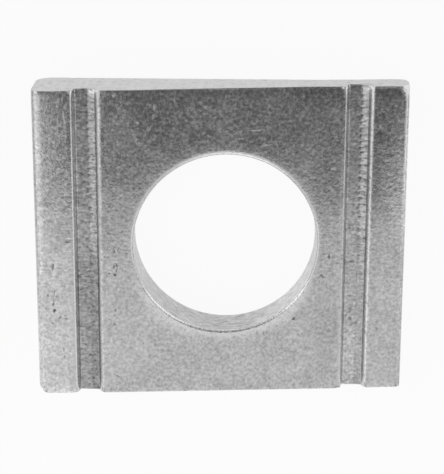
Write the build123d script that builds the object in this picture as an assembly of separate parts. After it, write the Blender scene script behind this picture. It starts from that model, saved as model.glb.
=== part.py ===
from build123d import *
import math
import os

# A square taper washer that seats a bolt on the sloping flange of a U-section beam.
# It is one piece: a wedge-shaped bar, rolled with two grooves, sheared to length
# at both ends and bored through.
# The smooth face lies on z = 0 and the grooved nut face slopes down towards +X.
# X runs across the bar from its thick edge to its thin edge, and Y runs along it.
# The origin is the middle of the bore where it opens on the smooth face.

# The bar, in millimetres; the taper is the nut face's fall for each millimetre of X
cut_length = 30.9
bore_thickness = 4.5
taper = 0.08

# The bore stands a little towards the thin edge and leans that way, in degrees
bore_diameter = 17.9
bore_offset = 0.3
bore_lean = 1.9
nut_rim_round = 0.22
smooth_rim_round = 0.12

# Across the bar from the bore's size outwards: land, groove and wing, alike on both sides
land_width = 2.85
groove_width = 2.5
wing_width = 3.7

# Rounds that the rolls leave along the bar's four long edges
thick_nut_round = 0.9
thick_smooth_round = 1.5
thin_nut_round = 0.5
thin_smooth_round = 1.3

# The two grooves. Each is steep on its thick side and easier on its thin side,
# and a wall leans in by its run on its way to the floor
groove_depth = 1.0
thick_wall_run = 0.3
thick_lip_round = 0.3
thick_root_round = 0.5
thin_wall_run = 0.5
thin_lip_round = 0.5
thin_root_round = 1.1

# The sheared ends: their edge break, and the thick corner that the blade dragged round,
# an arc centred dragged_corner_reach in from the end and from the edge
end_edge_round = 0.15
dragged_corner_reach = 0.9
dragged_corner_round = 1.0

# The flat knocked on one corner, measured along each of the corner's three edges
knock_across = 0.75
knock_along = 1.4
knock_down = 0.6

# Places worked out from the sizes
groove_middle = bore_diameter / 2 + land_width + groove_width / 2
bar_width = 2 * (groove_middle + groove_width / 2 + wing_width)
thick_edge_x = -bar_width / 2 - bore_offset
thin_edge_x = bar_width / 2 - bore_offset
end_y = cut_length / 2
slope_angle = math.atan(taper)
tool_length = 4 * (bore_thickness + taper * bar_width)


def nut_face_height(x):
    """Height of the nut face above the smooth face."""
    return bore_thickness - taper * x


def nut_face_point(along, depth):
    """A point of the section, along the nut face from the bar's middle and down into it."""
    middle_x = -bore_offset
    x = middle_x + along * math.cos(slope_angle) - depth * math.sin(slope_angle)
    z = nut_face_height(middle_x) - along * math.sin(slope_angle) - depth * math.cos(slope_angle)
    return (x, z)


def groove_corners(centre):
    """The four corners of one groove from its thick side to its thin side, each with its round."""
    lip = groove_width / 2
    thick_root = lip - thick_wall_run
    thin_root = lip - thin_wall_run
    return [
        (nut_face_point(centre - lip, 0), thick_lip_round),
        (nut_face_point(centre - thick_root, groove_depth), thick_root_round),
        (nut_face_point(centre + thin_root, groove_depth), thin_root_round),
        (nut_face_point(centre + lip, 0), thin_lip_round),
    ]


def rolled_section():
    """The wedge outline of the bar with its grooves, in the XZ plane."""
    corners = [
        ((thin_edge_x, 0), thin_smooth_round),
        ((thick_edge_x, 0), thick_smooth_round),
        ((thick_edge_x, nut_face_height(thick_edge_x)), thick_nut_round),
        *groove_corners(-groove_middle),
        *groove_corners(groove_middle),
        ((thin_edge_x, nut_face_height(thin_edge_x)), thin_nut_round),
    ]
    points = [point for point, radius in corners]
    radii = [radius for point, radius in corners]
    outline = FilletPolyline(*points, radius=radii, close=True)
    return Plane.XZ * make_face(outline)


def dragged_corner():
    """What is missing at the thick corner of the -Y end: a block with a round hollow."""
    block = Rectangle(tool_length, tool_length, align=(Align.MAX, Align.MAX))
    outside = block - Circle(dragged_corner_round)
    centre = Pos(thick_edge_x + dragged_corner_reach, -end_y + dragged_corner_reach)
    return extrude(centre * outside, amount=tool_length, both=True)


def sheared_bar():
    """The rolled section cut to length, with its dragged corner and broken end edges."""
    bar = extrude(rolled_section(), amount=end_y, both=True) - dragged_corner()
    end_edges = bar.faces().filter_by(Axis.Y).edges()
    return fillet(end_edges, end_edge_round)


def bored(bar):
    """The bar with its leaning bore and the rounds on both of its rims."""
    bore = Rot(Y=bore_lean) * Cylinder(bore_diameter / 2, tool_length)
    bar = bar - bore
    rims = bar.edges().filter_by(lambda edge: edge.is_closed).sort_by(Axis.Z)
    bar = fillet(rims.last, nut_rim_round)
    rims = bar.edges().filter_by(lambda edge: edge.is_closed).sort_by(Axis.Z)
    return fillet(rims.first, smooth_rim_round)


def knocked(bar):
    """The bar with the thin, upper corner of its nut face knocked flat."""
    corner = Vector(thin_edge_x, end_y, nut_face_height(thin_edge_x))
    outward = Vector(1 / knock_across, 1 / knock_along, 1 / knock_down)
    flat = Plane(origin=corner - Vector(knock_across, 0, 0), z_dir=outward)
    return split(bar, bisect_by=flat, keep=Keep.BOTTOM)


taper_washer = knocked(bored(sheared_bar()))

os.makedirs("parts", exist_ok=True)
export_step(taper_washer, "parts/taper_washer.step")
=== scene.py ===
"""A square taper washer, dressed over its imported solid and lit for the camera.

Lengths are in metres. The washer lies on its smooth face: +X runs from its thick
edge to its thin edge, +Y along its grooves and +Z up from the smooth face.
"""

import logging
import math
from collections.abc import Sequence
from dataclasses import dataclass, field
from enum import Enum

import bpy
from mathutils import Matrix, Vector


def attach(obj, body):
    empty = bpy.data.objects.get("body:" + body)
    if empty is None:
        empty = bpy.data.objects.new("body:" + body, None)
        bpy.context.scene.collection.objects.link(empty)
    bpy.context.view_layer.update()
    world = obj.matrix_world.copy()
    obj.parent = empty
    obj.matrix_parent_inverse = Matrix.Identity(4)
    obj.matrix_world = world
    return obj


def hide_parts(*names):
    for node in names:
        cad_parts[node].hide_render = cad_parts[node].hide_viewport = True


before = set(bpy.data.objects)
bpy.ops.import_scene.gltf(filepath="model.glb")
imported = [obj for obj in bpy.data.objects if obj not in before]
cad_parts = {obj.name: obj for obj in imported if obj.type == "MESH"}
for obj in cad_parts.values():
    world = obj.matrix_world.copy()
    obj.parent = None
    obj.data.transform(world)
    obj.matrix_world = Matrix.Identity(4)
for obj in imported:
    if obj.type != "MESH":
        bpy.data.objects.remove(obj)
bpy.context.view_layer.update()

MM = 0.001
NODE = "taper_washer"
BODY = "root"

log = logging.getLogger("taper_washer")


class Mask(Enum):
    """Point attributes that tell the finish where on the washer it is."""

    SHEARED = "sheared"
    BORED = "bored"
    RUBBED = "rubbed"
    ROOT = "root"
    BURR = "burr"
    KNOCKED = "knocked"
    SIDE = "side"
    RIM = "rim"
    GROOVE = "groove"


class Field:
    """A number that a node tree works out at every point, with ordinary arithmetic."""

    def __init__(self, tree: "Tree", socket: bpy.types.NodeSocket) -> None:
        """Keep the socket that the number comes from.

        Args:
            tree: The tree that the socket belongs to.
            socket: An output socket with one number.
        """
        self.tree = tree
        self.socket = socket

    def __add__(self, other: "Number") -> "Field":
        """Sum of two numbers."""
        return self.tree.maths("ADD", self, other)

    def __radd__(self, other: "Number") -> "Field":
        """Sum of two numbers."""
        return self.tree.maths("ADD", other, self)

    def __sub__(self, other: "Number") -> "Field":
        """Difference of two numbers."""
        return self.tree.maths("SUBTRACT", self, other)

    def __rsub__(self, other: "Number") -> "Field":
        """Difference of two numbers."""
        return self.tree.maths("SUBTRACT", other, self)

    def __mul__(self, other: "Number") -> "Field":
        """Product of two numbers."""
        return self.tree.maths("MULTIPLY", self, other)

    def __rmul__(self, other: "Number") -> "Field":
        """Product of two numbers."""
        return self.tree.maths("MULTIPLY", other, self)

    def __truediv__(self, other: "Number") -> "Field":
        """Quotient of two numbers."""
        return self.tree.maths("DIVIDE", self, other)

    def __neg__(self) -> "Field":
        """The number with its sign turned."""
        return self.tree.maths("MULTIPLY", self, -1.0)


Number = Field | float
Socket = bpy.types.NodeSocket


class Tree:
    """A node tree under construction, for geometry or for a finish."""

    def __init__(self, tree: bpy.types.NodeTree) -> None:
        """Keep the tree that gets the nodes."""
        self.tree = tree

    def node(self, kind: str, inputs: dict[str | int, object] | None = None, **settings: object) -> bpy.types.Node:
        """Add a node, set its properties and feed its inputs.

        Args:
            kind: The node's type name.
            inputs: What each input gets: a field, an output socket or a plain value.
            settings: The node's own properties.

        Returns:
            The new node.
        """
        made = self.tree.nodes.new(kind)
        for key, value in settings.items():
            setattr(made, key, value)
        for name, value in (inputs or {}).items():
            self.feed(made.inputs[name], value)
        return made

    def feed(self, slot: Socket, value: object) -> None:
        """Give an input socket its value or its link.

        Args:
            slot: The input socket.
            value: A field, an output socket or a plain value.
        """
        if isinstance(value, Field):
            self.tree.links.new(value.socket, slot)
        elif isinstance(value, bpy.types.NodeSocket):
            self.tree.links.new(value, slot)
        else:
            slot.default_value = value

    def maths(self, operation: str, *terms: Number) -> Field:
        """Add a math node.

        Args:
            operation: The node's operation.
            terms: One or two numbers.

        Returns:
            The node's result.
        """
        made = self.node("ShaderNodeMath", dict(enumerate(terms)), operation=operation)
        return Field(self, made.outputs[0])

    def larger(self, a: Number, b: Number) -> Field:
        """The larger of two numbers."""
        return self.maths("MAXIMUM", a, b)

    def smaller(self, a: Number, b: Number) -> Field:
        """The smaller of two numbers."""
        return self.maths("MINIMUM", a, b)

    def above(self, a: Number, b: Number) -> Field:
        """One where a is above b, and nought elsewhere."""
        return self.maths("GREATER_THAN", a, b)

    def root(self, a: Number) -> Field:
        """Square root."""
        return self.maths("SQRT", a)

    def magnitude(self, a: Number) -> Field:
        """The number without its sign."""
        return self.maths("ABSOLUTE", a)

    def mix(self, a: Number, b: Number, share: Number) -> Field:
        """The number that lies a share of the way from a to b."""
        return a + (b - a) * share

    def ramp(self, value: Number, start: Number, end: Number, kind: str = "LINEAR") -> Field:
        """How far a value has gone from start to end, held between 0 and 1.

        Args:
            value: The value that runs.
            start: Where the ramp is 0.
            end: Where the ramp is 1.
            kind: The ramp's interpolation.

        Returns:
            The share from 0 to 1.
        """
        span = {"Value": value, "From Min": start, "From Max": end}
        made = self.node("ShaderNodeMapRange", span, interpolation_type=kind, clamp=True)
        return Field(self, made.outputs["Result"])

    def split(self, vector: Socket) -> tuple[Field, Field, Field]:
        """The three parts of a vector."""
        made = self.node("ShaderNodeSeparateXYZ", {"Vector": vector})
        return Field(self, made.outputs[0]), Field(self, made.outputs[1]), Field(self, made.outputs[2])

    def join(self, x: Number, y: Number, z: Number) -> Socket:
        """A vector of three parts."""
        return self.node("ShaderNodeCombineXYZ", {"X": x, "Y": y, "Z": z}).outputs[0]

    def noise(self, place: Socket, grain: float, detail: float = 2.0, rough: float = 0.5) -> Field:
        """Cloudy noise around one half.

        Args:
            place: Where the noise is read.
            grain: Size of its grains, in metres.
            detail: How many finer layers lie over the grains.
            rough: How strong the finer layers are.

        Returns:
            The noise, mostly between 0.2 and 0.8.
        """
        setting = {"Vector": place, "Scale": 1.0 / grain, "Detail": detail, "Roughness": rough}
        made = self.node("ShaderNodeTexNoise", setting, noise_dimensions="3D")
        return Field(self, made.outputs[0])

    def cells(self, place: Socket, width: float) -> tuple[Field, Field]:
        """Scattered spots, one to a cell.

        Args:
            place: Where the cells are read.
            width: Size of a cell, in metres.

        Returns:
            Distance to the spot in cell widths, and the cell's own random number.
        """
        made = self.node("ShaderNodeTexVoronoi", {"Vector": place, "Scale": 1.0 / width}, voronoi_dimensions="3D")
        red, _, _ = self.split(made.outputs["Color"])
        return Field(self, made.outputs["Distance"]), red


class ShapeTree(Tree):
    """A geometry node tree with named sizes."""

    def __init__(self, name: str) -> None:
        """Start an empty tree with one geometry output.

        Args:
            name: The name of the node group.
        """
        super().__init__(bpy.data.node_groups.new(name, "GeometryNodeTree"))
        self.source = self.tree.nodes.new("NodeGroupInput")
        self.result = self.tree.nodes.new("NodeGroupOutput")
        self.settings: dict[str, float] = {}
        self.tree.interface.new_socket("Geometry", in_out="OUTPUT", socket_type="NodeSocketGeometry")

    def size(self, name: str, value: float) -> Field:
        """Add a named length or number to the tree's inputs.

        Args:
            name: The input's name, in plain words.
            value: The value that the modifier gets.

        Returns:
            The input as a field.
        """
        socket = self.tree.interface.new_socket(name, in_out="INPUT", socket_type="NodeSocketFloat")
        socket.default_value = value
        self.settings[socket.identifier] = value
        return Field(self, self.source.outputs[name])

    def stations(self, index: Field, stops: Sequence[tuple[float, Number]]) -> Field:
        """A length that runs straight from stop to stop as an index or a place goes up.

        Args:
            index: The index or place that goes up.
            stops: Index and length at each stop, in rising order.

        Returns:
            The length at the index.
        """
        length = stops[0][1]
        for (count, here), (next_count, there) in zip(stops, stops[1:]):
            length = length + self.ramp(index, float(count), float(next_count)) * (there - here)
        return length

    def position(self) -> Socket:
        """Where each point is."""
        return self.node("GeometryNodeInputPosition").outputs[0]

    def placed(self, geometry: Socket, place: Socket) -> Socket:
        """The geometry with its points moved to their places."""
        return self.node("GeometryNodeSetPosition", {"Geometry": geometry, "Position": place}).outputs[0]

    def pushed(self, geometry: Socket, outwards: Field) -> Socket:
        """The geometry with its points moved along their normals."""
        normal = self.node("GeometryNodeInputNormal").outputs[0]
        offset = self.node("ShaderNodeVectorMath", {0: normal, "Scale": outwards}, operation="SCALE").outputs[0]
        return self.node("GeometryNodeSetPosition", {"Geometry": geometry, "Offset": offset}).outputs[0]

    def stored(self, geometry: Socket, masks: dict[Mask, Number]) -> Socket:
        """The geometry with masks stored on its points."""
        for mask, value in masks.items():
            inputs = {"Geometry": geometry, "Name": mask.value, "Value": value}
            geometry = self.node("GeometryNodeStoreNamedAttribute", inputs, data_type="FLOAT", domain="POINT").outputs[0]
        return geometry

    def recalled(self, mask: Mask) -> Field:
        """A mask that was stored on the points."""
        made = self.node("GeometryNodeInputNamedAttribute", {"Name": mask.value}, data_type="FLOAT")
        return Field(self, made.outputs["Attribute"])

    def close(self, geometry: Socket, material: bpy.types.Material) -> None:
        """End the tree with real, smooth geometry in its finish.

        Args:
            geometry: The geometry to hand out.
            material: The finish it gets.
        """
        real = self.node("GeometryNodeRealizeInstances", {"Geometry": geometry})
        smooth = self.node("GeometryNodeSetShadeSmooth", {"Geometry": real.outputs[0]})
        dressed = self.node("GeometryNodeSetMaterial", {"Geometry": smooth.outputs[0], "Material": material})
        self.feed(self.result.inputs["Geometry"], dressed.outputs[0])


@dataclass(frozen=True)
class Rows:
    """How many mesh rows each stretch of the washer gets."""

    land: int = 48
    lip: int = 5
    wall: int = 10
    floor: int = 14
    wing: int = 6
    edge: int = 9
    length: int = 200
    shoulder: int = 4
    end: int = 6
    foot: int = 3
    lower: int = 6
    middle: int = 4
    upper: int = 3
    brow: int = 6
    face: int = 18
    rim: int = 6
    bore: int = 12
    back_rim: int = 4
    back: int = 6


@dataclass(frozen=True)
class GrooveSide:
    """One side of a groove: a root that turns up from the floor, a ramp, a steep wall and a rounded lip."""

    lip: float
    wall_run: float
    ramp_run: float
    root_round: float
    ramp_tilt: float
    lip_round: float

    @property
    def root_run(self) -> float:
        """Width of the root."""
        return self.root_round * math.sin(self.ramp_tilt)

    @property
    def rise(self) -> float:
        """Height of the ramp's upper end over the floor."""
        root_rise = self.root_round * (1.0 - math.cos(self.ramp_tilt))
        return root_rise + self.ramp_run * math.tan(self.ramp_tilt)

    def slope(self, depth: float) -> float:
        """How steep the wall is, as its rise over its run."""
        return (depth - self.rise) / self.wall_run

    def stops(self, depth: float) -> tuple[float, float, float, float, float]:
        """Distances from the groove's middle where floor, root, ramp, wall and lip end.

        Args:
            depth: Depth of the groove.

        Returns:
            The ends of the flat floor, the root, the ramp, the wall and the lip round.
        """
        turn = math.atan(self.slope(depth))
        ramp_end = self.lip - self.wall_run
        root_end = ramp_end - self.ramp_run
        lip_reach = self.lip_round * math.tan(turn / 2)
        return root_end - self.root_run, root_end, ramp_end, self.lip - lip_reach * math.cos(turn), self.lip + lip_reach


@dataclass
class WasherBody:
    """The one-piece washer: its rolled bar, sheared ends and leaning bore."""

    cut_length: float = 30.9 * MM
    bore_thickness: float = 4.5 * MM
    taper: float = 0.08
    bore_diameter: float = 17.9 * MM
    bore_offset: float = 0.3 * MM
    bore_lean: float = math.radians(1.9)
    nut_rim_round: float = 0.30 * MM
    rim_spread: float = 0.7
    smooth_rim_round: float = 0.12 * MM
    land_width: float = 2.88 * MM
    groove_width: float = 2.45 * MM
    wing_width: float = 3.72 * MM
    groove_depth: float = 1.0 * MM
    thick_side: GrooveSide = GrooveSide(1.06 * MM, 0.20 * MM, 0.0, 0.10 * MM, math.radians(60), 0.26 * MM)
    thin_side: GrooveSide = GrooveSide(1.225 * MM, 0.18 * MM, 0.55 * MM, 0.5 * MM, math.radians(25), 0.62 * MM)
    thick_nut_round: float = 0.9 * MM
    thick_smooth_round: float = 1.5 * MM
    thin_nut_round: float = 0.5 * MM
    thin_smooth_round: float = 1.3 * MM
    end_edge_round: float = 0.15 * MM
    end_zone: float = 0.4 * MM
    end_shoulder: float = 1.2 * MM
    foot_zone: float = 0.2 * MM
    dragged_corner: float = 0.9 * MM
    knock_across: float = 0.75 * MM
    knock_along: float = 1.4 * MM
    knock_down: float = 0.6 * MM
    end_roll: float = 0.05 * MM
    wing_end_roll: float = 0.16 * MM
    lip_end_roll: float = 0.12 * MM
    thick_edge_sag: float = 0.08 * MM
    smooth_sway: tuple[tuple[float, float], ...] = (
        (-18.0 * MM, 0.0),
        (9.0 * MM, 0.0),
        (13.0 * MM, 0.06 * MM),
        (18.0 * MM, 0.16 * MM),
    )
    nut_sway: tuple[tuple[float, float], ...] = (
        (-18.0 * MM, -0.10 * MM),
        (-12.0 * MM, -0.06 * MM),
        (-6.0 * MM, 0.02 * MM),
        (9.0 * MM, 0.15 * MM),
        (18.0 * MM, 0.08 * MM),
    )
    wave_depth: float = 0.012 * MM
    grain_depth: float = 0.004 * MM
    chatter_pitch: float = 0.65 * MM
    chatter_depth: float = 0.065 * MM
    shear_depth: float = 0.05 * MM
    weld: float = 1e-6
    rows: Rows = field(default_factory=Rows)

    def __post_init__(self) -> None:
        """Work out the places that follow from the sizes."""
        self.groove_middle = self.bore_diameter / 2 + self.land_width + self.groove_width / 2
        self.half_width = self.groove_middle + self.groove_width / 2 + self.wing_width
        self.half_length = self.cut_length / 2
        self.lip_end = self.thin_side.stops(self.groove_depth)[-1]
        self.block_half = self.groove_middle - self.lip_end

    def across_stops(self) -> list[tuple[int, float]]:
        """Mesh rows from the bar's middle out to its edge, as index and distance."""
        rows = self.rows
        middle = self.groove_middle
        _, _, wall_foot, _, thick_lip_end = self.thick_side.stops(self.groove_depth)
        places = [
            (rows.land // 2, self.block_half),
            (rows.lip, middle - thick_lip_end),
            (rows.wall, middle - wall_foot),
            (rows.floor, middle + wall_foot),
            (rows.wall, middle + thick_lip_end),
            (rows.lip, middle + self.lip_end),
            (rows.wing, self.half_width - self.thick_smooth_round),
            (rows.edge, self.half_width),
        ]
        return self.counted(places)

    def along_stops(self) -> list[tuple[int, float]]:
        """Mesh rows from the bar's middle out to its sheared end."""
        rows = self.rows
        places = [
            (rows.length // 2, self.half_length - self.end_shoulder),
            (rows.shoulder, self.half_length - self.end_zone),
            (rows.end, self.half_length),
        ]
        return self.counted(places)

    @staticmethod
    def counted(places: list[tuple[int, float]]) -> list[tuple[int, float]]:
        """Turn rows per stretch into a running index, starting from nought.

        Args:
            places: Rows in each stretch, and the distance where it ends.

        Returns:
            Index and distance at each stop.
        """
        stops = [(0, 0.0)]
        for count, place in places:
            stops.append((stops[-1][0] + count, place))
        return stops


class WasherTree(ShapeTree):
    """The node tree that builds the washer's mesh from its sizes."""

    def __init__(self, body: WasherBody, material: bpy.types.Material) -> None:
        """Build the whole tree.

        Args:
            body: The washer's sizes.
            material: The finish that the mesh gets.
        """
        super().__init__("washer_shape")
        self.body = body
        self.rows = body.rows
        self.name_sizes()
        both = self.node("GeometryNodeJoinGeometry")
        self.feed(both.inputs[0], self.bar_shell())
        self.feed(both.inputs[0], self.bore_ring())
        welded = self.node("GeometryNodeMergeByDistance", {"Geometry": both.outputs[0], "Distance": body.weld})
        self.close(self.worn(welded.outputs[0]), material)

    def name_sizes(self) -> None:
        """Give the tree its named inputs."""
        body = self.body
        self.thickness = self.size("Thickness at bore", body.bore_thickness)
        self.taper = self.size("Taper", body.taper)
        self.bore_radius = self.size("Bore radius", body.bore_diameter / 2)
        self.bore_offset = self.size("Bore offset", body.bore_offset)
        self.lean = self.size("Bore lean", math.tan(body.bore_lean))
        self.nut_rim = self.size("Nut rim round", body.nut_rim_round)
        self.smooth_rim = self.size("Smooth rim round", body.smooth_rim_round)
        self.groove_middle = self.size("Groove middle", body.groove_middle)
        self.groove_depth = self.size("Groove depth", body.groove_depth)
        self.thick_nut = self.size("Thick nut edge round", body.thick_nut_round)
        self.thick_smooth = self.size("Thick smooth edge round", body.thick_smooth_round)
        self.thin_nut = self.size("Thin nut edge round", body.thin_nut_round)
        self.thin_smooth = self.size("Thin smooth edge round", body.thin_smooth_round)
        self.end_round = self.size("End edge round", body.end_edge_round)
        self.end_roll = self.size("End roll on the land", body.end_roll)
        self.wing_end_roll = self.size("End roll on the wings", body.wing_end_roll)
        self.lip_end_roll = self.size("End roll on the groove lips", body.lip_end_roll)
        self.thick_edge_sag = self.size("Sag of the thick edge", body.thick_edge_sag)
        self.half_width = self.size("Half width", body.half_width)
        self.half_length = self.size("Half length", body.half_length)
        self.corner_round = self.size("Dragged corner round", body.dragged_corner)
        self.wave_depth = self.size("Wave depth", body.wave_depth)
        self.grain_depth = self.size("Grain depth", body.grain_depth)
        self.chatter_pitch = self.size("Chatter pitch", body.chatter_pitch)
        self.chatter_depth = self.size("Chatter depth", body.chatter_depth)
        self.shear_depth = self.size("Shear tear depth", body.shear_depth)

    def nut_height(self, x: Number) -> Field:
        """Height of the nut face over the smooth face, at a distance from the bore."""
        return self.thickness - self.taper * x

    def groove_cut(self, u: Field) -> Field:
        """How deep the two grooves cut at a place across the bar.

        Args:
            u: Place across the bar, from its middle.

        Returns:
            Depth under the nut face.
        """
        beyond = self.past_groove(u)
        thick = self.side_cut(beyond, self.body.thick_side)
        thin = self.side_cut(beyond, self.body.thin_side)
        return self.mix(thick, thin, self.above(beyond, 0.0))

    def past_groove(self, u: Field) -> Field:
        """Place across from the middle of the nearer groove, at a place across the bar."""
        side = 2.0 * self.above(u, -self.body.weld) - 1.0
        return u - side * self.groove_middle

    def side_cut(self, beyond: Field, side: GrooveSide) -> Field:
        """Depth of a groove that has one side's shape.

        Args:
            beyond: Place across, from the groove's middle.
            side: The side's lean and rounds.

        Returns:
            Depth under the nut face.
        """
        body = self.body
        floor_end, root_end, ramp_end, wall_end, lip_end = side.stops(body.groove_depth)
        reach = self.magnitude(beyond)
        in_root = self.smaller(self.larger(reach - floor_end, 0.0), root_end - floor_end)
        root_rise = side.root_round - self.root(side.root_round**2 - in_root * in_root)
        in_ramp = self.smaller(self.larger(reach - root_end, 0.0), ramp_end - root_end)
        root_rise = root_rise + in_ramp * math.tan(side.ramp_tilt)
        in_wall = self.smaller(self.larger(reach - ramp_end, 0.0), wall_end - ramp_end)
        before_lip = self.smaller(self.larger(lip_end - reach, 0.0), lip_end - wall_end)
        lip_fall = side.lip_round - self.root(side.lip_round**2 - before_lip * before_lip)
        below_lip = self.groove_depth - root_rise - in_wall * side.slope(body.groove_depth)
        return self.mix(below_lip, lip_fall, self.above(reach, wall_end))

    def across(self, index: Field) -> Field:
        """Distance from the bar's middle at a row index that counts from the middle."""
        side = self.maths("SIGN", index)
        return side * self.stations(self.magnitude(index), self.body.across_stops())

    def along(self, index: Field) -> Field:
        """Place along the bar at a row index that counts from the middle."""
        side = self.maths("SIGN", index)
        return side * self.stations(self.magnitude(index), self.body.along_stops())

    def bar_shell(self) -> Socket:
        """The skin of the bar, open where the bore's ring of faces goes."""
        rows = self.rows
        across_rows = 2 * self.body.across_stops()[-1][0]
        along_rows = 2 * self.body.along_stops()[-1][0]
        up_rows = rows.foot + rows.lower + rows.middle + rows.upper + rows.brow
        counts = {
            "Size": (across_rows, along_rows, up_rows),
            "Vertices X": across_rows + 1,
            "Vertices Y": along_rows + 1,
            "Vertices Z": up_rows + 1,
        }
        lattice = self.node("GeometryNodeMeshCube", counts).outputs["Mesh"]
        i, j, k = self.split(self.position())
        inside = self.above(rows.land / 2, self.magnitude(i)) * self.above(rows.length / 2, self.magnitude(j))
        level = self.above(self.magnitude(k), up_rows / 2 - 0.25)
        picked = {"Geometry": lattice, "Selection": inside * level}
        opened = self.node("GeometryNodeDeleteGeometry", picked, domain="FACE").outputs[0]
        place, masks = self.shell_place(i, j, k + up_rows / 2, along_rows / 2)
        return self.placed(self.stored(opened, masks), place)

    def shell_place(self, i: Field, j: Field, k: Field, end_row: float) -> tuple[Socket, dict[Mask, Number]]:
        """Where a lattice point of the bar's skin lies on the real washer.

        Args:
            i: Row across the bar, from its middle.
            j: Row along the bar, from its middle.
            k: Row up from the smooth face.
            end_row: The last row along the bar.

        Returns:
            The point's place, and the masks that hold there.
        """
        rows = self.rows
        body = self.body
        u = self.across(i)
        v = self.along(j)
        share = (u + self.half_width) / (2.0 * body.half_width)
        nut_round = self.mix(self.thick_nut, self.thin_nut, share)
        smooth_round = self.mix(self.thick_smooth, self.thin_smooth, share)
        cut = self.groove_cut(u)
        top = self.nut_height(u - self.bore_offset) - cut - self.end_fall(u, v) - self.edge_sag(u)
        stops = [
            (rows.foot, body.foot_zone),
            (rows.lower, smooth_round),
            (rows.middle, top - nut_round),
            (rows.upper, top - body.end_zone),
            (rows.brow, top),
        ]
        w = self.stations(k, body.counted(stops))
        upper_half = self.above(k, rows.foot + rows.lower + rows.middle / 2)
        v = v + self.end_sway(u, v, w / top)
        u, v, w = self.end_break(u, v, w, top, upper_half)
        u, w = self.edge_round(u, w, top, self.mix(smooth_round, nut_round, upper_half), upper_half)
        u, v = self.drag_corner(u, v)
        place, past_flat = self.knock(u - self.bore_offset, v, w)
        masks = self.shell_masks(u, j, k, cut, end_row)
        return place, masks | {Mask.KNOCKED: self.ramp(past_flat, -0.22 * MM, -0.06 * MM)}

    def end_fall(self, u: Field, v: Field) -> Field:
        """How far the blade rolled the nut face down near the sheared ends.

        Args:
            u: Place across the bar, from its middle.
            v: Place along the bar.

        Returns:
            Depth under the nut face.
        """
        body = self.body
        near = self.ramp(self.magnitude(v), body.half_length - 1.0 * MM, body.half_length)
        nearer = self.ramp(self.magnitude(v), body.half_length - 0.55 * MM, body.half_length)
        on_wing = self.ramp(self.magnitude(u), body.groove_middle, body.groove_middle + 2.5 * MM)
        beside = self.magnitude(self.magnitude(self.past_groove(u)) - 1.05 * MM)
        on_lip = self.ramp(beside, 0.6 * MM, 0.25 * MM)
        roll = near * near * self.mix(self.end_roll, self.wing_end_roll, on_wing)
        return roll + nearer * nearer * self.lip_end_roll * on_lip

    def edge_sag(self, u: Field) -> Field:
        """How far the rolls let the nut face fall toward the thick edge, at a place across the bar."""
        near = self.ramp(-u, self.body.half_width - 2.8 * MM, self.body.half_width - 0.6 * MM)
        return near * near * self.thick_edge_sag

    def end_sway(self, u: Field, v: Field, height: Field) -> Field:
        """How far the shear blade's push moved the +Y end out of true.

        Args:
            u: Place across the bar, from its middle.
            v: Place along the bar.
            height: Share of the height, from the smooth face to the nut face.

        Returns:
            Length to add along the bar.
        """
        near = self.ramp(v, self.body.half_length - 1.0 * MM, self.body.half_length)
        low = self.stations(u, self.body.smooth_sway)
        high = self.stations(u, self.body.nut_sway)
        return near * near * self.mix(low, high, height)

    def end_break(self, u: Field, v: Field, w: Field, top: Field, upper_half: Field) -> tuple[Field, Field, Field]:
        """Round the edges of the sheared ends, as a ball rolled along them would.

        Args:
            u: Place across the bar, from its middle.
            v: Place along the bar.
            w: Height over the smooth face.
            top: Height of the skin above the point.
            upper_half: One on the nut face's half of the bar.

        Returns:
            The point's new place.
        """
        radius = self.end_round
        depth = self.mix(w, top - w, upper_half)
        in_u = self.larger(self.magnitude(u) - self.half_width + radius, 0.0)
        in_v = self.larger(self.magnitude(v) - self.half_length + radius, 0.0)
        in_w = self.larger(radius - depth, 0.0)
        longest = self.larger(in_u, self.larger(in_v, in_w))
        length = self.root(in_u * in_u + in_v * in_v + in_w * in_w)
        shrink = longest / self.larger(length, self.body.weld * MM) - 1.0
        upwards = 2.0 * upper_half - 1.0
        new_u = u + self.maths("SIGN", u) * in_u * shrink
        new_v = v + self.maths("SIGN", v) * in_v * shrink
        return new_u, new_v, w + upwards * in_w * shrink

    def edge_round(self, u: Field, w: Field, top: Field, radius: Field, upper_half: Field) -> tuple[Field, Field]:
        """Round one of the bar's four long edges in its section.

        Args:
            u: Place across the bar, from its middle.
            w: Height over the smooth face.
            top: Height of the skin above the point.
            radius: The nearest long edge's round.
            upper_half: One on the nut face's half of the bar.

        Returns:
            The point's new place across and up.
        """
        depth = self.mix(w, top - w, upper_half)
        in_u = self.larger(self.magnitude(u) - self.half_width + radius, 0.0)
        in_w = self.larger(radius - depth, 0.0)
        length = self.root(in_u * in_u + in_w * in_w)
        shrink = self.larger(in_u, in_w) / self.larger(length, self.body.weld * MM) - 1.0
        both = self.above(in_u, 0.0) * self.above(in_w, 0.0)
        upwards = 2.0 * upper_half - 1.0
        new_u = u + self.maths("SIGN", u) * in_u * shrink * both
        return new_u, w + upwards * in_w * shrink * both

    def drag_corner(self, u: Field, v: Field) -> tuple[Field, Field]:
        """Round the thick corner of the -Y end in plan.

        Args:
            u: Place across the bar, from its middle.
            v: Place along the bar.

        Returns:
            The point's new place across and along.
        """
        radius = self.corner_round
        in_u = self.larger(radius - self.half_width - u, 0.0)
        in_v = self.larger(radius - self.half_length - v, 0.0)
        length = self.root(in_u * in_u + in_v * in_v)
        shrink = self.larger(in_u, in_v) / self.larger(length, self.body.weld * MM) - 1.0
        both = self.above(in_u, 0.0) * self.above(in_v, 0.0)
        return u - in_u * shrink * both, v - in_v * shrink * both

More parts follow.
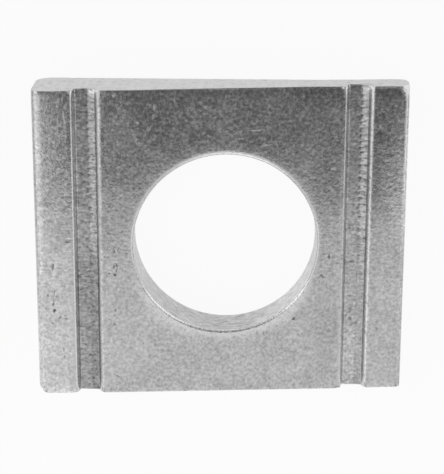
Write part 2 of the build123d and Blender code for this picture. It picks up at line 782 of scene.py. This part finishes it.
    def knock(self, x: Field, y: Field, z: Field) -> tuple[Socket, Field]:
        """Press the thin, upper corner of the nut face onto the plane it was knocked to.

        Args:
            x: Place from the bore, across the bar.
            y: Place along the bar.
            z: Height over the smooth face.

        Returns:
            The point's new place, and how far beyond the plane it stood.
        """
        body = self.body
        corner_x = body.half_width - body.bore_offset
        corner_z = body.bore_thickness - body.taper * corner_x
        outward = Vector((1 / body.knock_across, 1 / body.knock_along, 1 / body.knock_down)).normalized()
        on_plane = Vector((corner_x - body.knock_across, body.half_length, corner_z))
        reach = outward.x * x + outward.y * y + outward.z * z - outward.dot(on_plane)
        press = self.larger(reach, 0.0)
        return self.join(x - outward.x * press, y - outward.y * press, z - outward.z * press), reach

    def shell_masks(self, u: Field, j: Field, k: Field, cut: Field, end_row: float) -> dict[Mask, Number]:
        """Where the skin is sheared, rubbed bright, a groove's root or a rolled edge.

        Args:
            u: Place across the bar, from its middle.
            j: Row along the bar.
            k: Row up from the smooth face.
            cut: Depth of the groove there.
            end_row: The last row along the bar.

        Returns:
            Each mask and its value.
        """
        body = self.body
        rows = self.rows
        beyond = self.past_groove(u)
        reach = self.magnitude(beyond)
        on_top = self.above(k, rows.foot + rows.lower + rows.middle + rows.upper)
        on_lip = self.ramp(self.magnitude(reach - 1.22 * MM), 0.28 * MM, 0.12 * MM)
        thin_root = self.ramp(self.magnitude(beyond - 0.68 * MM), 0.44 * MM, 0.34 * MM)
        sheared = self.above(self.magnitude(j), end_row - 0.5)
        in_groove = self.ramp(cut, 0.15 * MM, 0.6 * MM) * on_top
        near_end = self.ramp(self.along(j), body.half_length - 1.1 * MM, body.half_length - 0.4 * MM)
        return {
            Mask.BURR: near_end * self.larger(on_lip, thin_root) * on_top * (1.0 - sheared),
            Mask.SIDE: self.above(self.magnitude(u), body.half_width - 0.3 * MM) * (1.0 - sheared),
            Mask.SHEARED: sheared,
            Mask.RUBBED: on_lip * on_top,
            Mask.ROOT: thin_root * in_groove,
            Mask.GROOVE: in_groove * (1.0 - sheared),
            Mask.BORED: 0.0,
            Mask.RIM: 0.0,
        }

    def bore_ring(self) -> Socket:
        """The faces round the bore: land, rim, wall, far rim and smooth face."""
        rows = self.rows
        round_rows = 2 * (rows.land + rows.length)
        down_rows = rows.face + rows.rim + rows.bore + rows.back_rim + rows.back
        counts = {
            "Size X": float(round_rows),
            "Size Y": float(down_rows),
            "Vertices X": round_rows + 1,
            "Vertices Y": down_rows + 1,
        }
        sheet = self.node("GeometryNodeMeshGrid", counts).outputs["Mesh"]
        i, j, _ = self.split(self.position())
        place, masks = self.ring_place(i + round_rows / 2, j + down_rows / 2)
        return self.placed(self.stored(sheet, masks), place)

    def ring_place(self, t: Field, s: Field) -> tuple[Socket, dict[Mask, Number]]:
        """Where a point of the ring round the bore lies.

        Args:
            t: Row around the bore.
            s: Row from the land's border over the rim, down the bore and out again.

        Returns:
            The point's place, and the masks that hold there.
        """
        rows = self.rows
        border_x, border_y = self.border(t)
        reach = self.root(border_x * border_x + border_y * border_y)
        away_x = border_x / reach
        away_y = border_y / reach
        rim_row = rows.face
        wall_row = rim_row + rows.rim
        back_rim_row = wall_row + rows.bore
        back_row = back_rim_row + rows.back_rim
        outside = 1.0 - self.ramp(s, 0.0, rim_row) + self.ramp(s, back_row, back_row + rows.back)
        turn = self.ramp(s, rim_row, wall_row) * (math.pi / 2)
        down = self.ramp(s, wall_row, back_rim_row)
        back_turn = self.ramp(s, back_rim_row, back_row) * (math.pi / 2)
        upper = self.ramp(away_y, 0.0, 0.8)
        rim_width = self.nut_rim * (1.0 + self.body.rim_spread * upper)
        radius = self.bore_radius + rim_width * (1.0 - self.maths("SINE", turn))
        radius = radius + self.smooth_rim * (1.0 - self.maths("COSINE", back_turn))
        x = self.mix(radius * away_x, border_x, outside)
        y = self.mix(radius * away_y, border_y, outside)
        x = x + self.nut_height(x) * (1.0 - down) * self.lean * (1.0 - outside)
        rim_fall = self.nut_rim * (1.0 - 0.3 * upper) * (1.0 - self.maths("COSINE", turn))
        back_rise = self.smooth_rim * (1.0 - self.maths("SINE", back_turn))
        z = (self.nut_height(x) - rim_fall) * (1.0 - down) + back_rise * down
        on_wall = self.ramp(s, wall_row - 2.0, wall_row) * self.ramp(s, back_rim_row + 2.0, back_rim_row)
        on_rim = self.ramp(self.magnitude(s - (rim_row + rows.rim / 2)), rows.rim, rows.rim / 3)
        masks = {mask: 0.0 for mask in Mask} | {Mask.BORED: on_wall, Mask.RIM: on_rim}
        return self.join(x, y, z), masks

    def border(self, t: Field) -> tuple[Field, Field]:
        """The border between the bar's skin and the bore's ring, as a walk round a rectangle.

        Args:
            t: Row around the bore, counted from one corner.

        Returns:
            Place from the bore, across and along.
        """
        wide = self.rows.land
        long = self.rows.length
        over = self.ramp(t, 0.0, wide) - self.ramp(t, wide + long, 2 * wide + long)
        up = self.ramp(t, wide, wide + long) - self.ramp(t, 2 * wide + long, 2 * (wide + long))
        u = self.across(over * wide - wide / 2)
        v = self.along(up * long - long / 2)
        return u - self.bore_offset, v

    def worn(self, geometry: Socket) -> Socket:
        """The washer with the rolls' chatter, the blade's tears and faint waves pressed in.

        Args:
            geometry: The clean washer.

        Returns:
            The worn washer, nowhere proud of the clean one.
        """
        place = self.position()
        _, y, _ = self.split(place)
        drift = self.noise(place, 1.6 * MM, 1.0)
        beat = self.maths("SINE", y * (2.0 * math.pi) / self.chatter_pitch + drift * 9.0)
        fading = self.ramp(y, -12.0 * MM, 4.0 * MM)
        chatter = self.recalled(Mask.ROOT) * self.chatter_depth * (0.5 + 0.5 * beat) * fading
        wave = self.wave_depth * self.noise(place, 2.6 * MM, 1.0)
        grain = self.grain_depth * self.noise(place, 0.7 * MM, 1.0)
        tall = self.node("ShaderNodeVectorMath", {0: place, 1: (1.0, 1.0, 0.25)}, operation="MULTIPLY").outputs[0]
        torn = self.larger(self.recalled(Mask.SHEARED), self.recalled(Mask.KNOCKED))
        tear = torn * self.shear_depth * self.noise(tall, 0.9 * MM, 2.0)
        nick = self.recalled(Mask.RUBBED) * 0.03 * MM * self.noise(place, 0.8 * MM, 2.0)
        return self.pushed(geometry, -(chatter + wave + grain + tear + nick))


def finished_object(tree: ShapeTree, name: str) -> bpy.types.Object:
    """Run a shape tree once and keep its result as a plain mesh.

    Args:
        tree: The finished tree.
        name: The name of the new object.

    Returns:
        An object at the origin with the mesh and no modifier.
    """
    made = bpy.data.objects.new(name, bpy.data.meshes.new(name))
    bpy.context.scene.collection.objects.link(made)
    modifier = made.modifiers.new(tree.tree.name, "NODES")
    modifier.node_group = tree.tree
    for identifier, value in tree.settings.items():
        modifier[identifier] = value
    depsgraph = bpy.context.evaluated_depsgraph_get()
    mesh = bpy.data.meshes.new_from_object(made.evaluated_get(depsgraph))
    made.modifiers.clear()
    made.data = mesh
    mesh.name = name
    return made


@dataclass(frozen=True)
class Nick:
    """A small mark on the nut face, in millimetres and degrees.

    The first two numbers are its place from the bore, then come its length, its width,
    its turn from X and how strong it is.
    """

    across: float
    along: float
    length: float
    width: float
    turn: float
    strength: float


@dataclass(frozen=True)
class ZincSteel:
    """Matt grey zinc on rolled steel, speckled, and rubbed brighter on its lips."""

    name: str = "zinc_grey_steel"
    grey: float = 0.60
    sheared_grey: float = 0.63
    bored_grey: float = 0.46
    rubbed_grey: float = 0.68
    rim_highlight_grey: float = 0.95
    raw_metal_and_glint_grey: float = 0.95
    roughness: float = 0.23
    fleck_roughness: float = 0.25
    bright_roughness: float = 0.42
    fleck: float = 0.29 * MM
    speckle: float = 0.31 * MM
    speckle_depth: float = 0.024 * MM
    pit_depth: float = 1.5
    pits: tuple[Nick, ...] = (
        Nick(-16.54, -2.09, 0.81, 0.24, 90, 1.00),
        Nick(-17.09, -4.97, 0.30, 0.19, 90, 0.80),
        Nick(-16.47, -4.77, 0.41, 0.19, 90, 0.80),
        Nick(-16.14, -5.14, 0.29, 0.19, 0, 0.70),
        Nick(-16.57, -5.86, 0.71, 0.25, 90, 1.00),
        Nick(-16.52, -6.59, 0.41, 0.29, 90, 1.00),
        Nick(-16.00, -7.33, 0.51, 0.25, 60, 1.00),
        Nick(-15.42, -7.44, 0.39, 0.21, -35, 0.80),
        Nick(-15.43, -3.91, 0.30, 0.19, 90, 0.60),
        Nick(-15.69, -10.70, 0.51, 0.19, 95, 0.80),
        Nick(-15.64, -11.44, 0.30, 0.24, 90, 0.90),
        Nick(-15.03, 0.54, 0.58, 0.39, 20, 0.50),
        Nick(-10.62, -0.44, 0.51, 0.15, 110, 0.60),
        Nick(-10.18, -0.30, 0.41, 0.15, 60, 0.70),
        Nick(-11.50, -1.04, 0.24, 0.19, 0, 0.60),
        Nick(-9.37, -0.76, 0.25, 0.19, 90, 0.60),
        Nick(-10.65, -2.08, 0.51, 0.15, 90, 0.60),
        Nick(-10.38, -2.23, 0.71, 0.18, 88, 0.80),
        Nick(-10.53, -1.81, 0.39, 0.15, 0, 0.70),
        Nick(-10.57, -3.00, 0.34, 0.29, 0, 1.00),
        Nick(-11.10, -2.77, 0.29, 0.19, 0, 0.60),
        Nick(-10.53, -6.63, 0.36, 0.25, 90, 0.80),
        Nick(-10.65, -8.15, 0.29, 0.29, 0, 0.40),
        Nick(-10.44, -13.61, 0.39, 0.19, -20, 0.50),
        Nick(10.28, -1.36, 0.51, 0.24, 110, 0.80),
        Nick(9.64, -3.42, 0.39, 0.24, -35, 0.70),
        Nick(6.92, -7.76, 0.36, 0.29, 90, 0.60),
        Nick(7.78, -9.36, 0.30, 0.24, 90, 0.60),
        Nick(15.04, 12.95, 0.48, 0.58, 0, 0.45),
        Nick(15.03, 11.14, 0.77, 0.58, 0, 0.50),
    )
    scrapes: tuple[Nick, ...] = (
        Nick(3.08, 11.36, 1.55, 0.15, 5, 0.90),
        Nick(3.98, 9.86, 1.11, 0.15, 5, 1.00),
        Nick(-6.67, 13.65, 0.61, 0.15, 90, 0.80),
        Nick(-6.73, 12.77, 0.81, 0.23, 90, 0.50),
        Nick(-4.71, 14.50, 0.81, 0.15, 88, 0.60),
        Nick(-8.25, 12.24, 0.19, 0.19, 0, 0.90),
        Nick(-10.42, 14.84, 0.30, 0.25, 90, 1.00),
        Nick(-1.75, 13.69, 0.58, 0.29, 0, 0.50),
        Nick(0.17, 14.65, 0.71, 0.17, 80, 0.60),
        Nick(-16.71, -2.91, 0.48, 0.11, 0, 0.60),
        Nick(10.56, 8.16, 0.39, 0.25, 20, 0.80),
        Nick(10.48, 7.46, 0.58, 0.19, -10, 0.80),
        Nick(10.70, -2.50, 0.48, 0.15, -40, 0.70),
        Nick(-15.26, 14.50, 0.91, 0.15, 85, 0.70),
        Nick(-15.15, 12.76, 1.42, 0.15, 98, 0.70),
        Nick(-15.75, 12.57, 3.05, 0.13, 90, 0.40),
        Nick(5.19, 14.60, 0.51, 0.15, 70, 0.50),
        Nick(-8.36, 10.54, 0.29, 0.29, 0, 0.60),
        Nick(-6.09, 10.71, 0.24, 0.24, 0, 0.50),
    )

    # Painted light: pale patches where the coat is made lighter to stand for brighter light.
    painted_light_patches: tuple[Nick, ...] = (
        Nick(-16.20, 8.80, 6.50, 4.60, 90, 0.15),
        Nick(-9.60, 11.80, 6.00, 5.00, 0, 0.14),
        Nick(12.80, -12.40, 8.00, 2.80, 90, 0.15),
        Nick(17.30, 7.00, 14.00, 2.80, 90, 0.34),
    )
    # Painted shade: dark patches where the coat is made darker to stand for dimmer light.
    painted_shade_patches: tuple[Nick, ...] = (
        Nick(14.40, 6.40, 9.00, 1.80, 90, 0.26),
        Nick(10.20, -9.20, 11.00, 3.00, 90, 0.10),
        Nick(12.80, 8.00, 7.00, 2.80, 90, 0.13),
        Nick(10.20, 5.60, 6.00, 3.00, 90, 0.16),
    )

    def material(self) -> bpy.types.Material:
        """Build the finish's material.

        Returns:
            The new material.
        """
        made = bpy.data.materials.new(self.name)
        made.use_nodes = True
        tree = Tree(made.node_tree)
        shader = made.node_tree.nodes["Principled BSDF"]
        place = tree.node("ShaderNodeTexCoord").outputs["Object"]
        masks = {mask: self.mask(tree, mask) for mask in Mask}
        fine = tree.noise(place, self.speckle, 2.5, 0.6)
        clouds = tree.noise(place, 3.5 * MM, 2.0)
        flecks = tree.ramp(tree.noise(self.stretched(tree, place, (1.0, 0.75, 1.0)), self.fleck, 3.0, 0.65), 0.45, 0.8)
        ragged = self.ragged(tree, place)
        scraped = self.nicked(tree, ragged, self.scrapes)
        pitted = self.nicked(tree, ragged, self.pits)
        # Raw metal at the knocked corner and the burrs; on the burrs this near-white grey is also a painted glint.
        patchy = tree.ramp(fine, 0.3, 0.5)
        knocked = 0.90 * masks[Mask.KNOCKED] * patchy
        bright = tree.larger(masks[Mask.BURR] * patchy, knocked)
        grey = self.shade(tree, place, masks, fine, clouds) + 0.08 * flecks + 0.20 * scraped - 0.45 * pitted
        grey = tree.mix(grey, self.raw_metal_and_glint_grey, bright)
        grey = tree.larger(grey, 0.1)
        tree.feed(shader.inputs["Base Color"], tree.join(grey, grey, grey))
        tree.feed(shader.inputs["Metallic"], 1.0 - 0.2 * knocked)
        roughness = self.roughness + self.fleck_roughness * flecks + 0.12 * (clouds - 0.5) + 0.25 * scraped
        roughness = roughness + 0.12 * masks[Mask.SHEARED] + 0.10 * masks[Mask.GROOVE]
        tree.feed(shader.inputs["Roughness"], tree.mix(roughness, self.bright_roughness, bright))
        tree.feed(shader.inputs["Normal"], self.relief(tree, place, masks, fine, pitted))
        return made

    def mask(self, tree: Tree, mask: Mask) -> Field:
        """A mask that the mesh carries."""
        return Field(tree, tree.node("ShaderNodeAttribute", attribute_name=mask.value).outputs["Fac"])

    def stretched(self, tree: Tree, place: Socket, scale: tuple[float, float, float]) -> Socket:
        """The places pressed together along each axis, which draws a pattern out."""
        return tree.node("ShaderNodeMapping", {"Vector": place, "Scale": scale}).outputs[0]

    def ragged(self, tree: Tree, place: Socket) -> Socket:
        """The places shaken a little, which makes the outlines of marks ragged.

        Args:
            tree: The material's tree.
            place: Where the point is on the washer.

        Returns:
            The shaken places.
        """
        setting = {"Vector": place, "Scale": 1.0 / (0.3 * MM), "Detail": 2.0}
        cloud = tree.node("ShaderNodeTexNoise", setting, noise_dimensions="3D").outputs["Color"]
        centred = tree.node("ShaderNodeVectorMath", {0: cloud, 1: (0.5, 0.5, 0.5)}, operation="SUBTRACT").outputs[0]
        shake = {0: centred, 1: (0.35 * MM,) * 3, 2: place}
        return tree.node("ShaderNodeVectorMath", shake, operation="MULTIPLY_ADD").outputs[0]

    def nicked(self, tree: Tree, place: Socket, nicks: Sequence[Nick]) -> Field:
        """Where the small marks of one kind are.

        Args:
            tree: The material's tree.
            place: Where the point is on the washer.
            nicks: The marks.

        Returns:
            Each mark's strength at its middle, and nought beside it.
        """
        found: Number = 0.0
        for nick in nicks:
            frame_of_nick = {
                "Vector": place,
                "Location": (nick.across * MM, nick.along * MM, 4.5 * MM),
                "Rotation": (0.0, 0.0, math.radians(nick.turn)),
                "Scale": (nick.length / 2 * MM, nick.width / 2 * MM, 4.0 * MM),
            }
            inside = tree.node("ShaderNodeMapping", frame_of_nick, vector_type="TEXTURE").outputs[0]
            away = tree.node("ShaderNodeVectorMath", {0: inside}, operation="LENGTH").outputs["Value"]
            found = tree.larger(found, nick.strength * tree.ramp(Field(tree, away), 1.3, 0.5))
        return found

    def shade(self, tree: Tree, place: Socket, masks: dict[Mask, Field], fine: Field, clouds: Field) -> Field:
        """How light the metal is at each point, with painted light and shade worked in.

        Args:
            tree: The material's tree.
            place: Where the point is on the washer.
            masks: The mesh's masks.
            fine: The speckle.
            clouds: The broad clouding.

        Returns:
            The grey, from 0 to 1.
        """
        across, along, _ = tree.split(place)
        drawn = tree.noise(self.stretched(tree, place, (0.5, 1.3, 1.0)), 0.3 * MM, 2.0)
        grey = self.grey + 0.80 * (fine - 0.5) + 0.22 * (clouds - 0.5)
        grey = grey + 0.45 * (drawn - 0.5) * tree.ramp(along, -7.0 * MM, -3.0 * MM)
        # Painted light and shade from the pale and dark patches.
        painted_tone = self.nicked(tree, place, self.painted_light_patches) - self.nicked(tree, place, self.painted_shade_patches)
        grey = grey * (1.0 + painted_tone)
        # Painted shade: the groove on the thick side is darkened, more so toward −Y.
        painted_groove_shade = tree.ramp(along, 0.0 * MM, -3.0 * MM)
        grey = grey * (1.0 - (0.10 + 0.18 * painted_groove_shade) * masks[Mask.GROOVE] * tree.above(0.0, across))
        grey = grey + self.groove_grain(tree, place, across, along) * masks[Mask.GROOVE]
        # Painted shade: the thin side's root band is darkened toward −Y.
        grey = grey * (1.0 - 0.26 * masks[Mask.ROOT] * tree.ramp(along, 3.0 * MM, -9.0 * MM))
        # Painted shade: both outer edges are darkened, the thick edge more so toward +Y.
        painted_edge_shade = tree.ramp(along, -9.0 * MM, 6.0 * MM) * tree.above(0.0, across)
        grey = grey * (1.0 - (0.08 + 0.30 * painted_edge_shade) * masks[Mask.SIDE])
        # Painted light: the wing on the thick side is made lighter.
        grey = grey * (1.0 + 0.15 * tree.ramp(across, -13.6 * MM, -14.6 * MM))
        grey = tree.mix(grey, self.rubbed_grey, masks[Mask.RUBBED] * tree.ramp(fine, 0.3, 0.6))
        # Rubbed bore rim, with a painted highlight that turns it near white toward −Y.
        rim = tree.mix(self.rubbed_grey, self.rim_highlight_grey, tree.ramp(along, -3.0 * MM, -5.0 * MM))
        grey = tree.mix(grey, rim, masks[Mask.RIM] * tree.ramp(fine, 0.2, 0.5))
        streaks = tree.noise(self.stretched(tree, place, (1.0, 1.0, 0.2)), 0.5 * MM, 2.0)
        blots = tree.noise(self.stretched(tree, place, (0.8, 1.0, 1.2)), 0.55 * MM, 3.0)
        sheared = self.sheared_grey + 0.14 * (streaks - 0.5) + 0.16 * (fine - 0.5) - 0.20 * tree.ramp(blots, 0.52, 0.75)
        grey = tree.mix(grey, sheared, masks[Mask.SHEARED])
        grey = tree.mix(grey, self.bored_shade(tree, place, across, along), masks[Mask.BORED])
        for width, rarity in ((1.1 * MM, 0.8), (0.62 * MM, 0.8)):
            distance, chance = tree.cells(place, width)
            speck = tree.ramp(distance, 0.17, 0.06) * tree.above(chance, rarity)
            grey = grey * (1.0 - 0.38 * speck)
        return grey

    def groove_grain(self, tree: Tree, place: Socket, across: Field, along: Field) -> Field:
        """What the rolls left in the grooves: grit, dark specks, and bricks side by side along them.

        Args:
            tree: The material's tree.
            place: Where the point is on the washer.
            across: Its place across the bar.
            along: Its place along the bar.

        Returns:
            What to add to the grey.
        """
        grit = tree.noise(self.stretched(tree, place, (0.8, 1.5, 1.0)), 0.3 * MM, 2.0)
        dark = tree.ramp(tree.noise(place, 0.45 * MM, 2.0), 0.58, 0.72)
        drift = tree.noise(place, 1.6 * MM, 1.0)
        beat = tree.maths("SINE", along * (2.0 * math.pi) / (0.65 * MM) + drift * 9.0)
        joints = tree.ramp(beat, 0.45, 0.95) * self.mask(tree, Mask.ROOT) * tree.ramp(along, -8.0 * MM, 5.0 * MM)
        joints = joints * (0.15 + 0.12 * tree.above(across, 0.0))
        return 0.75 * (grit - 0.5) - 0.16 * dark - joints

    def bored_shade(self, tree: Tree, place: Socket, across: Field, along: Field) -> Field:
        """How light the bore's wall is: streaked round about, and lighter toward +X and −Y.

        Args:
            tree: The material's tree.
            place: Where the point is on the washer.
            across: Its place across the bar.
            along: Its place along the bar.

        Returns:
            The grey, from 0 to 1.
        """
        rings = tree.noise(self.stretched(tree, place, (0.55, 0.55, 1.3)), 0.36 * MM, 2.0)
        blotches = tree.noise(place, 1.0 * MM, 2.0)
        lighter_toward_side = tree.ramp(across * 0.77 - along * 0.64, 7.2 * MM, 8.9 * MM)
        return self.bored_grey + 0.70 * (rings - 0.5) + 0.16 * (blotches - 0.5) + 0.14 * lighter_toward_side

    def relief(self, tree: Tree, place: Socket, masks: dict[Mask, Field], fine: Field, pitted: Field) -> Socket:
        """The fine relief of the coat.

        Args:
            tree: The material's tree.
            place: Where the point is on the washer.
            masks: The mesh's masks.
            fine: The speckle.
            pitted: The dark marks.

        Returns:
            The bumped normal.
        """
        grit = tree.noise(place, 0.2 * MM, 2.0)
        tears = tree.noise(self.stretched(tree, place, (1.0, 1.0, 0.15)), 0.25 * MM, 1.0)
        torn = tree.larger(tree.larger(masks[Mask.SHEARED], masks[Mask.KNOCKED]), masks[Mask.BORED] * 0.5)
        height = fine + 0.35 * grit + torn * tears * 1.5 - self.pit_depth * pitted
        bump = tree.node("ShaderNodeBump", {"Strength": 1.0, "Distance": self.speckle_depth, "Height": height})
        return bump.outputs["Normal"]


@dataclass
class PhotoCamera:
    """The camera, placed as it stood to the washer's nut face."""

    focal_px: float = 1727.4
    frame_px: float = 474.0
    sensor: float = 36.0
    tip: float = math.radians(17.7)
    swing: float = math.radians(3.1)
    roll: float = math.radians(-0.18)
    aside: float = -0.135 * MM
    below: float = -0.705 * MM
    distance: float = 167.97 * MM

    def build(self, body: WasherBody) -> bpy.types.Object:
        """Make the camera and make it the scene's own.

        Args:
            body: The washer that it looks at.

        Returns:
            The camera object.
        """
        data = bpy.data.cameras.new("photo_camera")
        data.sensor_width = self.sensor
        data.lens = self.focal_px * self.sensor / self.frame_px
        data.clip_start = 0.01
        camera = bpy.data.objects.new("photo_camera", data)
        bpy.context.scene.collection.objects.link(camera)
        camera.matrix_world = self.nut_face_frame(body) @ self.seen_from_nut_face()
        bpy.context.scene.camera = camera
        return camera

    def seen_from_nut_face(self) -> Matrix:
        """The camera's place in the nut face's frame: X across it, Y along, Z out of it."""
        roll = Matrix.Rotation(self.roll, 4, "Z")
        tip = Matrix.Rotation(self.tip, 4, "X")
        swing = Matrix.Rotation(self.swing, 4, "Y")
        shift = Matrix.Translation((self.aside, self.below, -self.distance))
        return (shift @ roll @ tip @ swing).inverted()

    def nut_face_frame(self, body: WasherBody) -> Matrix:
        """The nut face's frame in the washer's, from the middle of the bar's width."""
        slope = math.atan(body.taper)
        height = body.bore_thickness + body.taper * body.bore_offset
        place = Matrix.Translation((-body.bore_offset, 0.0, height))
        return place @ Matrix.Rotation(slope, 4, "Y")


@dataclass(frozen=True)
class SkyPatch:
    """One soft bright part of the room, as seen from the washer."""

    toward: tuple[float, float, float]
    full_within: float
    gone_beyond: float
    level: float


@dataclass(frozen=True)
class Softbox:
    """A soft rectangular lamp, given by its middle, what it faces, its sides and its brightness."""

    name: str
    middle: tuple[float, float, float]
    aim: tuple[float, float, float]
    width: float
    height: float
    level: float

    def build(self) -> bpy.types.Object:
        """Hang the lamp.

        Returns:
            The lamp object.
        """
        data = bpy.data.lights.new(self.name, "AREA")
        data.shape = "RECTANGLE"
        data.size = self.width
        data.size_y = self.height
        data.energy = self.level * math.pi * self.width * self.height
        lamp = bpy.data.objects.new(self.name, data)
        facing = (Vector(self.aim) - Vector(self.middle)).to_track_quat("-Z", "Y").to_matrix().to_4x4()
        lamp.matrix_world = Matrix.Translation(self.middle) @ facing
        lamp.visible_camera = False
        bpy.context.scene.collection.objects.link(lamp)
        return lamp


@dataclass
class Studio:
    """A pale floor in a bright room that is darker overhead, where the camera stands."""

    floor_size: float = 1.2
    floor_grey: float = 0.9
    floor_glow: float = 0.93
    overhead: float = 0.12
    patches: tuple[SkyPatch, ...] = (
        SkyPatch((0.0, 0.0, -1.0), 98.0, 115.0, 0.9),
        SkyPatch((-0.35, -0.2, 1.0), 8.0, 28.0, 0.22),
        SkyPatch((-1.0, -0.42, 0.42), 15.0, 29.0, 0.72),
        SkyPatch((0.95, -0.25, 0.5), 15.0, 28.0, 0.62),
        SkyPatch((0.85, 0.46, 0.5), 16.0, 24.0, 1.12),
        SkyPatch((-0.8, 0.5, 0.55), 12.0, 22.0, 1.25),
        SkyPatch((0.0, 1.0, 0.6), 25.0, 45.0, 0.3),
        SkyPatch((0.0, -1.0, 0.5), 14.0, 26.0, 0.85),
    )
    lamps: tuple[Softbox, ...] = (
        Softbox("low_softbox", (0.0, -0.0272, 0.040), (0.0, -0.0055, 0.0), 0.120, 0.042, 0.595),
        Softbox("left_softbox", (-0.066, 0.012, 0.085), (0.0, 0.012, 0.0), 0.065, 0.095, 0.58),
    )

    def build(self) -> None:
        """Make the floor and the light."""
        self.make_floor()
        self.make_world()
        for lamp in self.lamps:
            lamp.build()
        bpy.context.scene.view_settings.view_transform = "Standard"

    def make_floor(self) -> None:
        """A flat pale floor that takes the washer's shadow."""
        half = self.floor_size / 2
        mesh = bpy.data.meshes.new("floor")
        corners = [(-half, -half, 0), (half, -half, 0), (half, half, 0), (-half, half, 0)]
        mesh.from_pydata(corners, [], [(0, 1, 2, 3)])
        floor = bpy.data.objects.new("floor", mesh)
        bpy.context.scene.collection.objects.link(floor)
        mesh.materials.append(self.floor_paint())

    def floor_paint(self) -> bpy.types.Material:
        """White paint that looks part lit and part glowing to the camera and to the metal."""
        paint = bpy.data.materials.new("pale_floor")
        paint.use_nodes = True
        tree = Tree(paint.node_tree)
        shader = paint.node_tree.nodes["Principled BSDF"]
        shader.inputs["Base Color"].default_value = (self.floor_grey,) * 3 + (1.0,)
        shader.inputs["Roughness"].default_value = 0.9
        shader.inputs["Specular IOR Level"].default_value = 0.0
        share = self.seen(tree) * self.floor_glow
        glow = tree.node("ShaderNodeEmission")
        both = tree.node("ShaderNodeMixShader", {"Fac": share, 1: shader.outputs[0], 2: glow.outputs[0]})
        tree.feed(paint.node_tree.nodes["Material Output"].inputs["Surface"], both.outputs[0])
        return paint

    def seen(self, tree: Tree) -> Field:
        """One for rays from the camera or off gloss, and nought for the light itself."""
        rays = tree.node("ShaderNodeLightPath").outputs
        return tree.larger(Field(tree, rays["Is Camera Ray"]), Field(tree, rays["Is Glossy Ray"]))

    def make_world(self) -> None:
        """Light the room patch by patch, and show it white to the camera."""
        world = bpy.data.worlds.new("bright_room")
        bpy.context.scene.world = world
        world.use_nodes = True
        tree = Tree(world.node_tree)
        direction = tree.node("ShaderNodeTexCoord").outputs["Generated"]
        level: Number = self.overhead
        for patch in self.patches:
            aim = {0: direction, 1: Vector(patch.toward).normalized()}
            facing = Field(tree, tree.node("ShaderNodeVectorMath", aim, operation="DOT_PRODUCT").outputs["Value"])
            edge = math.cos(math.radians(patch.gone_beyond))
            core = math.cos(math.radians(patch.full_within))
            share = tree.ramp(facing, edge, core, "SMOOTHSTEP")
            level = tree.larger(level, share * patch.level)
        rays = tree.node("ShaderNodeLightPath").outputs
        background = world.node_tree.nodes["Background"]
        background.inputs["Color"].default_value = (1.0, 1.0, 1.0, 1.0)
        tree.feed(background.inputs["Strength"], tree.larger(level, Field(tree, rays["Is Camera Ray"])))


def dress_washer(body: WasherBody, finish: ZincSteel) -> bpy.types.Object:
    """Build the washer's mesh, finish it and fit it to the frame.

    Args:
        body: The washer's sizes.
        finish: Its surface.

    Returns:
        The finished piece.
    """
    tree = WasherTree(body, finish.material())
    washer = finished_object(tree, "washer_body")
    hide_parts(NODE)
    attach(washer, BODY)
    return washer


def main() -> None:
    """Build the washer, the studio and the camera, in that order."""
    logging.basicConfig(level=logging.INFO, format="%(name)s: %(message)s")
    body = WasherBody()
    washer = dress_washer(body, ZincSteel())
    log.info("%s: %d faces", washer.name, len(washer.data.polygons))
    Studio().build()
    PhotoCamera().build(body)


if __name__ == "__main__":
    main()
